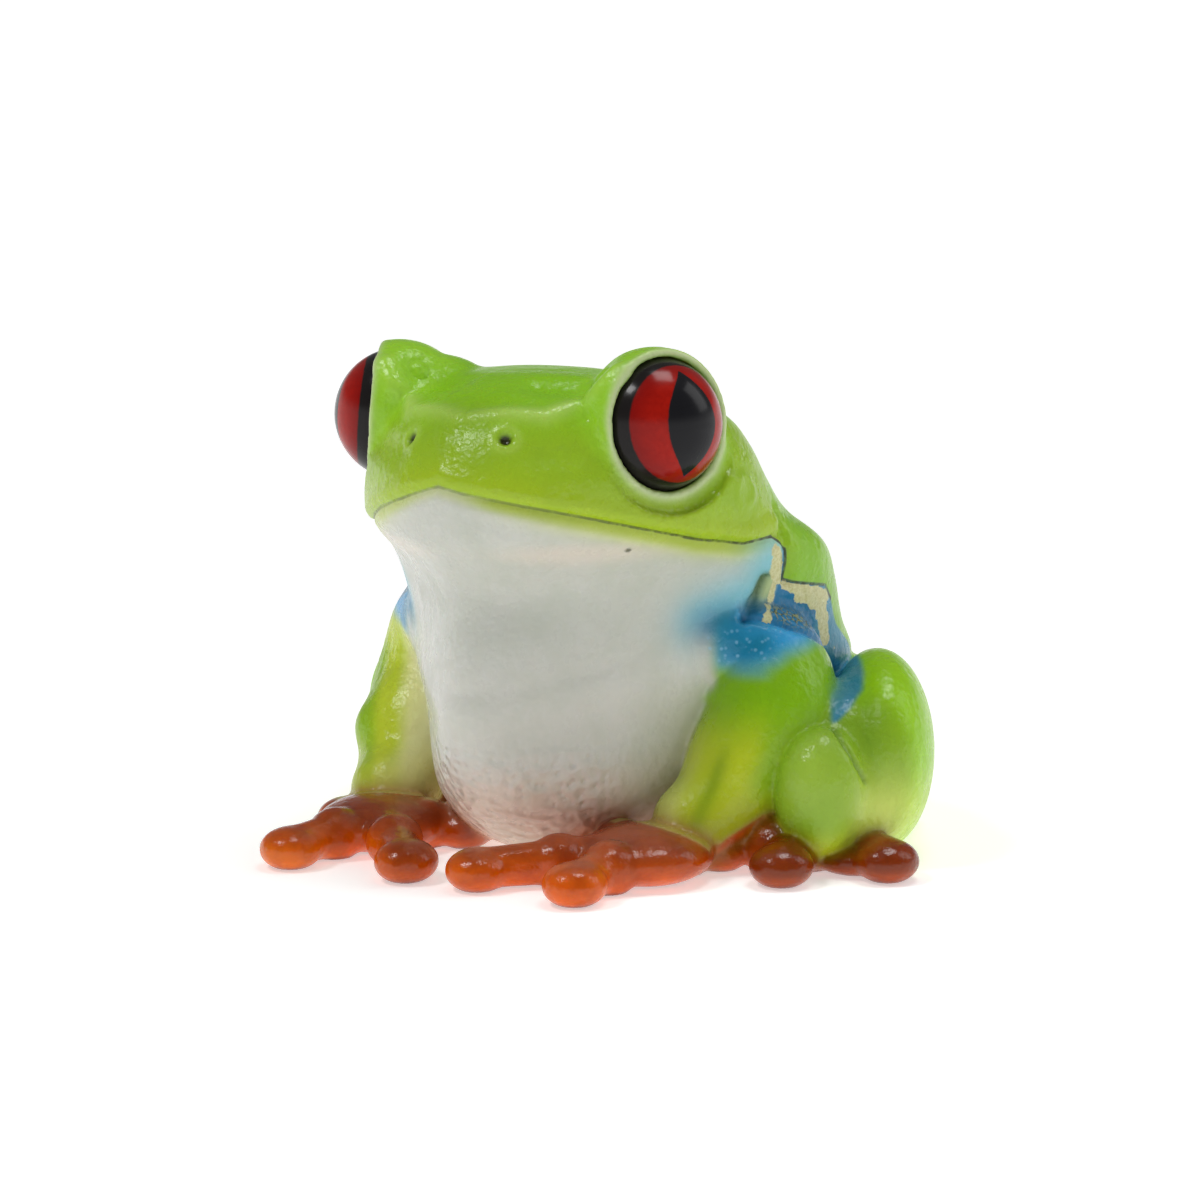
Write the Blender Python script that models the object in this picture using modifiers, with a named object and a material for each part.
"""A soft vinyl figure of a red-eyed tree frog, sitting with its head raised.

Metres, +Z up, standing on z = 0. The frog faces -Y and its left side is +X.
"""
import math

import bmesh
import bpy
from mathutils import Matrix, Vector

for old in list(bpy.data.objects):
    bpy.data.objects.remove(old, do_unlink=True)

MM = 0.001
GAP = 0.30 * MM
LEFT = 1
RIGHT = -1

# Paint: colour, and how rough each finish is.
GREEN = (0.30, 0.62, 0.02)
CREAM = (0.72, 0.72, 0.66)
RED = (0.60, 0.02, 0.01)
AMBER = (0.72, 0.20, 0.01)
SATIN = 0.40
GLOSS = 0.15
SHARP_ANGLE = 40.0

# The trunk is a stack of level egg-shaped sections: height, foremost and
# rearmost reach, half width, and how far the front is narrower than the rear.
TRUNK_SECTIONS = [
    (-1.5, -9.0, 32.0, 11.0, 0.10),
    (0.0, -12.5, 35.5, 14.5, 0.10),
    (1.2, -16.5, 37.5, 17.0, 0.10),
    (4.0, -21.5, 40.0, 19.5, 0.12),
    (10.0, -28.5, 41.0, 22.8, 0.30),
    (20.0, -33.0, 39.5, 26.2, 0.56),
    (25.0, -32.8, 38.0, 28.4, 0.60),
    (30.0, -32.0, 34.5, 28.0, 0.60),
    (37.0, -30.5, 29.0, 28.9, 0.56),
    (41.5, -32.5, 26.0, 29.2, 0.48),
    (46.0, -35.3, 21.0, 28.4, 0.29),
    (51.5, -36.5, 16.0, 27.6, 0.25),
    (56.0, -35.2, 13.5, 26.2, 0.22),
    (60.0, -32.3, 10.0, 23.5, 0.20),
    (63.5, -27.5, 3.5, 18.0, 0.12),
    (66.0, -21.0, -4.0, 11.5, 0.00),
    (66.8, -16.0, -10.0, 5.0, 0.00),
]
BALL_DETAIL = 3
SECTION_POINTS = 48
TRUNK_LEVELS = 44

# How each group is melted into one body: cell in millimetres, smoothing
# rounds and about how many faces are kept.
TRUNK_MELT = (1.3, 3, 4000)
LIMB_MELT = (1.2, 3, 700)
THIGH_MELT = (1.2, 3, 800)
DIGIT_MELT = (0.8, 2, 700)
WELD = 0.001 * MM

# Eyes: a ball on each side, looking out along its own axis.
EYE_CENTRE = (19.4, -16.0, 59.7)
EYE_RADIUS = 9.0
EYE_YAW = 64.0
EYE_LIFT = 5.0
LID_RADIUS = 10.2
LID_RIM = 3.0
OPENING_SPARE = 1.5
OPENING_SIDES = 48
SOCKET_GAPS = 1.6

# The neck is a level cut that slopes up to the rear.
NECK_FRONT = 41.5
NECK_SLOPE = 0.06

# Arms: from the shoulder back to the elbow, then forward to the wrist. The
# left one is held a little further forward.
LEFT_ARM_PATH = [
    (18.0, -2.0, 30.5),
    (26.3, 2.2, 25.5),
    (29.2, -0.9, 19.5),
    (27.5, -5.8, 13.0),
    (25.6, -9.3, 8.3),
    (24.0, -12.0, 6.2),
]
RIGHT_ARM_PATH = [
    (18.0, -2.0, 30.5),
    (24.8, 5.5, 25.5),
    (26.5, 4.2, 19.5),
    (25.7, -2.6, 13.0),
    (25.0, -7.0, 8.3),
    (24.0, -11.5, 6.0),
]
ARM_RADII = [8.0, 9.2, 9.2, 7.7, 6.6, 6.0]

# Hands: a palm and four fingers, each ending in a round pad.
PALM = (20.5, -20.0, 3.4)
PALM_RADII = (9.0, 9.5, 3.9)
LEFT_FINGER_TIPS = [(3.6, -35.0), (18.5, -36.0), (9.5, -12.5), (26.5, -10.0)]
RIGHT_FINGER_TIPS = [(7.2, -35.2), (24.8, -36.0), (10.5, -14.5), (28.5, -16.5)]
FINGER_RADIUS = 2.7
DIGIT_ROOT = 1.25
PAD_RADII = (4.3, 4.6, 3.0)
PAD_SINK = 0.5
KNUCKLE_RADII = (3.9, 4.2, 3.8)
KNUCKLE_PLACE = 0.52

# Hind legs: thigh, knee lobe, shank, and a webbed sole with five toes.
THIGH_PATH = [(16.0, 25.0, 13.0), (28.0, 23.5, 14.0), (35.0, 18.5, 14.0)]
THIGH_RADII = [9.5, 11.0, 9.5]
HAUNCH = (40.1, 11.8, 13.8)
HAUNCH_RADII = (7.6, 16.2, 13.9)
HAUNCH_YAW = 28.0
KNEE = (39.2, -5.8, 10.9)
KNEE_RADII = (6.2, 6.5, 8.9)
SHANK_PATH = [(38.5, -3.5, 9.6), (40.8, 1.8, 9.0), (39.5, 9.0, 9.4), (36.0, 26.0, 6.8)]
SHANK_RADII = [6.0, 7.8, 7.4, 5.4]
LEFT_SOLE = (36.0, 4.0, 2.6)
RIGHT_SOLE = (27.0, 15.0, 2.6)
SOLE_RADII = (7.0, 15.0, 2.6)
WEB_SHIFT = (-2.5, -5.5, -0.8)
WEB_RADII = (7.5, 8.5, 4.0)
LEFT_TOE_TIPS = [(18.5, 2.5), (22.0, -2.0), (29.8, -2.0), (37.5, -14.4), (48.7, -5.4)]
RIGHT_TOE_TIPS = [(18.5, 4.0), (21.0, -1.0), (25.0, -3.0), (29.5, 0.0), (32.0, 8.0)]
TOE_RADIUS = 2.9
TOE_PAD_RADII = (4.3, 4.6, 3.0)

# The right hind leg is folded further back than the left one.
RIGHT_HIP_SHIFT = (-1.0, 2.0, 0.0)
RIGHT_LEG_SHIFT = (-7.8, 10.5, 0.0)


def smooth_value(knots, column, z):
    """Reads one column of the section list at a height, by a smooth curve."""
    heights = [knot[0] for knot in knots]
    values = [knot[column] for knot in knots]
    i = 0
    while i < len(heights) - 2 and z > heights[i + 1]:
        i += 1
    span = heights[i + 1] - heights[i]
    t = (z - heights[i]) / span

    def slope(n):
        a = max(n - 1, 0)
        b = min(n + 1, len(heights) - 1)
        return (values[b] - values[a]) / (heights[b] - heights[a])

    m0 = slope(i) * span
    m1 = slope(i + 1) * span
    h00 = 2 * t ** 3 - 3 * t ** 2 + 1
    h10 = t ** 3 - 2 * t ** 2 + t
    h01 = -2 * t ** 3 + 3 * t ** 2
    h11 = t ** 3 - t ** 2
    return h00 * values[i] + h10 * m0 + h01 * values[i + 1] + h11 * m1


def section_ring(front, rear, half_width, egg, z):
    """One level ring of the trunk."""
    ring = []
    middle = (front + rear) / 2
    reach = (rear - front) / 2
    for n in range(SECTION_POINTS):
        a = 2 * math.pi * n / SECTION_POINTS
        x = half_width * math.sin(a) * (1 - egg * math.cos(a))
        y = middle - reach * math.cos(a)
        ring.append(Vector((x, y, z)) * MM)
    return ring


def new_object(name, mesh):
    obj = bpy.data.objects.new(name, mesh)
    bpy.context.scene.collection.objects.link(obj)
    return obj


def loft(name, rings):
    """A closed body through rings of equal counts, capped at both ends."""
    bm = bmesh.new()
    rows = []
    for ring in rings:
        rows.append([bm.verts.new(p) for p in ring])
    for low, high in zip(rows, rows[1:]):
        for n in range(len(low)):
            m = (n + 1) % len(low)
            bm.faces.new((low[n], low[m], high[m], high[n]))
    bm.faces.new(list(reversed(rows[0])))
    bm.faces.new(rows[-1])
    bmesh.ops.recalc_face_normals(bm, faces=bm.faces[:])
    mesh = bpy.data.meshes.new(name)
    bm.to_mesh(mesh)
    bm.free()
    return new_object(name, mesh)


def ball(name, centre, radii, turn=(0.0, 0.0, 0.0)):
    """An ellipsoid; turn is in degrees about X, Y and Z."""
    bm = bmesh.new()
    bmesh.ops.create_icosphere(bm, subdivisions=BALL_DETAIL, radius=1.0)
    spin = Matrix.Rotation(math.radians(turn[2]), 4, "Z")
    spin = spin @ Matrix.Rotation(math.radians(turn[1]), 4, "Y")
    spin = spin @ Matrix.Rotation(math.radians(turn[0]), 4, "X")
    size = Matrix.Diagonal((*[r * MM for r in radii], 1.0))
    place = Matrix.Translation(Vector(centre) * MM)
    bmesh.ops.transform(bm, matrix=place @ spin @ size, verts=bm.verts)
    mesh = bpy.data.meshes.new(name)
    bm.to_mesh(mesh)
    bm.free()
    return new_object(name, mesh)


def limb(name, path, radii):
    """A round tapering tube along a smooth path, with a ball at each end."""
    curve = bpy.data.curves.new(name, "CURVE")
    curve.dimensions = "3D"
    curve.bevel_depth = 1.0 * MM
    curve.bevel_resolution = 4
    curve.use_fill_caps = True
    curve.resolution_u = 6
    spline = curve.splines.new("BEZIER")
    spline.bezier_points.add(len(path) - 1)
    for point, place, radius in zip(spline.bezier_points, path, radii):
        point.co = Vector(place) * MM
        point.radius = radius
        point.handle_left_type = "AUTO"
        point.handle_right_type = "AUTO"
    guide = bpy.data.objects.new(name, curve)
    bpy.context.scene.collection.objects.link(guide)
    bpy.context.view_layer.update()
    seen = guide.evaluated_get(bpy.context.evaluated_depsgraph_get())
    mesh = bpy.data.meshes.new_from_object(seen)
    bm = bmesh.new()
    bm.from_mesh(mesh)
    bmesh.ops.remove_doubles(bm, verts=bm.verts, dist=WELD)
    bm.to_mesh(mesh)
    bm.free()
    bpy.data.objects.remove(guide)
    tube = new_object(name, mesh)
    first = ball(name + "_start", path[0], [radii[0]] * 3)
    last = ball(name + "_end", path[-1], [radii[-1]] * 3)
    return [tube, first, last]


def apply_modifiers(obj):
    bpy.context.view_layer.update()
    seen = obj.evaluated_get(bpy.context.evaluated_depsgraph_get())
    mesh = bpy.data.meshes.new_from_object(seen)
    obj.modifiers.clear()
    obj.data = mesh
    return obj


def mirrored(obj, side):
    """Moves a piece to the other side of the body when side is RIGHT."""
    if side == RIGHT:
        obj.data.transform(Matrix.Diagonal((-1.0, 1.0, 1.0, 1.0)))
        obj.data.flip_normals()
    return obj


def fuse(name, pieces, melting):
    """Melts overlapping pieces into one smooth closed body."""
    cell, rounds, faces = melting
    bm = bmesh.new()
    for piece in pieces:
        bm.from_mesh(piece.data)
        bpy.data.objects.remove(piece)
    mesh = bpy.data.meshes.new(name)
    bm.to_mesh(mesh)
    bm.free()
    obj = new_object(name, mesh)
    melt = obj.modifiers.new("melt", "REMESH")
    melt.mode = "VOXEL"
    melt.voxel_size = cell * MM
    relax = obj.modifiers.new("relax", "SMOOTH")
    relax.factor = 0.5
    relax.iterations = rounds
    apply_modifiers(obj)
    whole = len(obj.data.polygons) * 2
    thin = obj.modifiers.new("thin", "DECIMATE")
    thin.ratio = min(1.0, faces / whole)
    return apply_modifiers(obj)


def grown(obj, amount):
    """A copy whose surface stands off by the given amount."""
    copy = new_object(obj.name + "_grown", obj.data.copy())
    swell = copy.modifiers.new("swell", "DISPLACE")
    swell.strength = amount
    swell.mid_level = 0.0
    return apply_modifiers(copy)


def keep_largest(obj):
    """Drops loose scraps that a cut leaves."""
    bm = bmesh.new()
    bm.from_mesh(obj.data)
    bmesh.ops.remove_doubles(bm, verts=bm.verts, dist=WELD)
    left = set(bm.verts)
    groups = []
    while left:
        seed = left.pop()
        group = {seed}
        front = [seed]
        while front:
            vert = front.pop()
            for edge in vert.link_edges:
                other = edge.other_vert(vert)
                if other in left:
                    left.discard(other)
                    group.add(other)
                    front.append(other)
        groups.append(group)
    groups.sort(key=len, reverse=True)
    for group in groups[1:]:
        bmesh.ops.delete(bm, geom=list(group), context="VERTS")
    bm.to_mesh(obj.data)
    bm.free()
    return obj


def cut(obj, cutter, solver="EXACT"):
    """Cuts a closed body out of a piece, and removes the cutter."""
    tool = obj.modifiers.new("cut", "BOOLEAN")
    tool.object = cutter
    tool.operation = "DIFFERENCE"
    tool.solver = solver
    apply_modifiers(obj)
    bpy.data.objects.remove(cutter)
    return keep_largest(obj)


def slab(name, point, normal, side, reach=200.0):
    """A big block that fills one side of a plane through a point."""
    bm = bmesh.new()
    bmesh.ops.create_cube(bm, size=2 * reach * MM)
    turn = Vector((0, 0, 1)).rotation_difference(Vector(normal)).to_matrix().to_4x4()
    lift = Matrix.Translation(Vector((0, 0, side * reach)) * MM)
    place = Matrix.Translation(Vector(point) * MM)
    bmesh.ops.transform(bm, matrix=place @ turn @ lift, verts=bm.verts)
    mesh = bpy.data.meshes.new(name)
    bm.to_mesh(mesh)
    bm.free()
    return new_object(name, mesh)


def eye_axis():
    yaw = math.radians(EYE_YAW)
    lift = math.radians(EYE_LIFT)
    return Vector((math.sin(yaw) * math.cos(lift), -math.cos(yaw) * math.cos(lift), math.sin(lift)))


def trunk_rings():
    rings = []
    bottom = TRUNK_SECTIONS[0][0]
    top = TRUNK_SECTIONS[-1][0]
    for n in range(TRUNK_LEVELS + 1):
        z = bottom + (top - bottom) * (0.5 - 0.5 * math.cos(math.pi * n / TRUNK_LEVELS))
        values = [smooth_value(TRUNK_SECTIONS, column, z) for column in (1, 2, 3, 4)]
        rings.append(section_ring(*values, z))
    return rings


def trunk():
    pieces = [loft("trunk_core", trunk_rings())]
    for side in (LEFT, RIGHT):
        dome = ball("dome", EYE_CENTRE, [LID_RADIUS] * 3)
        pieces.append(mirrored(dome, side))
    return fuse("trunk", pieces, TRUNK_MELT)


def arm(side):
    path = LEFT_ARM_PATH if side == LEFT else RIGHT_ARM_PATH
    pieces = limb("arm", path, ARM_RADII)
    return fuse(side_name("arm", side), [mirrored(p, side) for p in pieces], LIMB_MELT)


def hand(side):
    pieces = [ball("palm", PALM, PALM_RADII)]
    tips = LEFT_FINGER_TIPS if side == LEFT else RIGHT_FINGER_TIPS
    for tip in tips:
        end = (tip[0], tip[1], FINGER_RADIUS)
        knuckle = [a + (b - a) * KNUCKLE_PLACE for a, b in zip(PALM, end)]
        pieces.append(ball("knuckle", knuckle, KNUCKLE_RADII))
        pieces += limb("finger", [PALM, end], [FINGER_RADIUS * DIGIT_ROOT, FINGER_RADIUS])
        pieces.append(ball("pad", (tip[0], tip[1], PAD_RADII[2] - PAD_SINK), PAD_RADII))
    return fuse(side_name("hand", side), [mirrored(p, side) for p in pieces], DIGIT_MELT)


def leg_point(point, side, shift=RIGHT_LEG_SHIFT):
    """A point of the left hind leg, or the same point of the right one before it is mirrored."""
    if side == LEFT:
        return point
    return tuple(a + b for a, b in zip(point, shift))


def side_name(name, side):
    return name + ("_left" if side == LEFT else "_right")


def thigh(side):
    path = [leg_point(THIGH_PATH[0], side, RIGHT_HIP_SHIFT)]
    path += [leg_point(p, side) for p in THIGH_PATH[1:]]
    pieces = limb("thigh", path, THIGH_RADII)
    turn = (0.0, 0.0, HAUNCH_YAW)
    pieces.append(ball("haunch", leg_point(HAUNCH, side), HAUNCH_RADII, turn))
    return fuse(side_name("thigh", side), [mirrored(p, side) for p in pieces], THIGH_MELT)


def shank(side):
    pieces = limb("shank", [leg_point(p, side) for p in SHANK_PATH], SHANK_RADII)
    pieces.append(ball("knee", leg_point(KNEE, side), KNEE_RADII))
    return fuse(side_name("shank", side), [mirrored(p, side) for p in pieces], LIMB_MELT)


def foot(side):
    sole = LEFT_SOLE if side == LEFT else RIGHT_SOLE
    tips = LEFT_TOE_TIPS if side == LEFT else RIGHT_TOE_TIPS
    web = tuple(a + b for a, b in zip(sole, WEB_SHIFT))
    pieces = [ball("sole", sole, SOLE_RADII), ball("web", web, WEB_RADII)]
    for x, y in tips:
        pieces += limb("toe", [sole, (x, y, TOE_RADIUS)], [TOE_RADIUS * DIGIT_ROOT, TOE_RADIUS])
        pieces.append(ball("pad", (x, y, TOE_PAD_RADII[2] - PAD_SINK), TOE_PAD_RADII))
    return fuse(side_name("foot", side), [mirrored(p, side) for p in pieces], DIGIT_MELT)


def eye(side):
    return mirrored(ball(side_name("eye", side), EYE_CENTRE, [EYE_RADIUS] * 3), side)


def open_socket(body, side):
    """Opens the lid out to its rim, and hollows the head round an eye."""
    axis = eye_axis()
    bm = bmesh.new()
    bmesh.ops.create_cone(
        bm,
        cap_ends=True,
        segments=OPENING_SIDES,
        radius1=(LID_RADIUS + OPENING_SPARE) * MM,
        radius2=(LID_RADIUS + OPENING_SPARE) * MM,
        depth=2 * LID_RADIUS * MM,
    )
    turn = Vector((0, 0, 1)).rotation_difference(axis).to_matrix().to_4x4()
    middle = Vector(EYE_CENTRE) + axis * (LID_RIM + LID_RADIUS)
    place = Matrix.Translation(middle * MM)
    bmesh.ops.transform(bm, matrix=place @ turn, verts=bm.verts)
    mesh = bpy.data.meshes.new("opening")
    bm.to_mesh(mesh)
    bm.free()
    cut(body, mirrored(new_object("opening", mesh), side))
    socket = ball("socket", EYE_CENTRE, [EYE_RADIUS + SOCKET_GAPS * GAP / MM] * 3)
    cut(body, mirrored(socket, side))


def floor_cut(obj):
    """Gives a piece a small flat where it rests on the floor."""
    return cut(obj, slab("floor", (0, 0, 0), (0, 0, 1), -1))


def keep_clear(obj, others):
    """Cuts a piece back from its neighbours, so that a thin gap is left."""
    for other in others:
        cut(obj, grown(other, GAP), "MANIFOLD")


def centre_on_origin(nodes):
    """Moves the figure so that the origin is the middle of its box, on the floor."""
    corners = [vert.co for node in nodes for vert in node.data.vertices]
    offset = Vector((0.0, 0.0, 0.0))
    for axis in (0, 1):
        values = [corner[axis] for corner in corners]
        offset[axis] = -(min(values) + max(values)) / 2
    for node in nodes:
        node.data.transform(Matrix.Translation(offset))


def paint(obj, name, colour, roughness):
    """Gives a node its own material."""
    material = bpy.data.materials.new(name)
    material.use_nodes = True
    shader = material.node_tree.nodes["Principled BSDF"]
    shader.inputs["Base Color"].default_value = (*colour, 1.0)
    shader.inputs["Roughness"].default_value = roughness
    shader.inputs["Metallic"].default_value = 0.0
    obj.data.materials.clear()
    obj.data.materials.append(material)
    obj.data.shade_smooth()
    obj.data.set_sharp_from_angle(angle=math.radians(SHARP_ANGLE))


def gather(nodes):
    """Puts the pieces in one collection named for the figure."""
    collection = bpy.data.collections.new("tree_frog_figure")
    bpy.context.scene.collection.children.link(collection)
    for node in nodes:
        for old_home in list(node.users_collection):
            old_home.objects.unlink(node)
        collection.objects.link(node)


def build():
    whole = trunk()
    for side in (LEFT, RIGHT):
        open_socket(whole, side)
    floor_cut(whole)
    normal = Vector((0.0, -NECK_SLOPE, 1.0)).normalized()
    point = Vector((0.0, 0.0, NECK_FRONT))
    head = new_object("head", whole.data.copy())
    cut(head, slab("below", point + normal * (GAP / MM / 2), normal, -1))
    whole.name = "torso"
    torso = whole
    cut(torso, slab("above", point - normal * (GAP / MM / 2), normal, 1))
    paint(head, "head_vinyl", GREEN, SATIN)
    paint(torso, "torso_vinyl", CREAM, SATIN)
    nodes = [head, torso]
    for side in (LEFT, RIGHT):
        eyeball = eye(side)
        upper = arm(side)
        keep_clear(upper, [torso, head])
        palm = hand(side)
        floor_cut(palm)
        keep_clear(palm, [torso, upper])
        thick = thigh(side)
        floor_cut(thick)
        keep_clear(thick, [torso, upper])
        lower = shank(side)
        floor_cut(lower)
        keep_clear(lower, [torso, upper, thick])
        sole = foot(side)
        floor_cut(sole)
        keep_clear(sole, [torso, upper, thick, lower, palm])
        paint(eyeball, side_name("eye_gloss", side), RED, GLOSS)
        paint(upper, side_name("arm_vinyl", side), GREEN, SATIN)
        paint(palm, side_name("hand_vinyl", side), AMBER, GLOSS)
        paint(thick, side_name("thigh_vinyl", side), GREEN, SATIN)
        paint(lower, side_name("shank_vinyl", side), GREEN, SATIN)
        paint(sole, side_name("foot_vinyl", side), AMBER, GLOSS)
        nodes += [eyeball, upper, palm, thick, lower, sole]
    centre_on_origin(nodes)
    gather(nodes)


build()
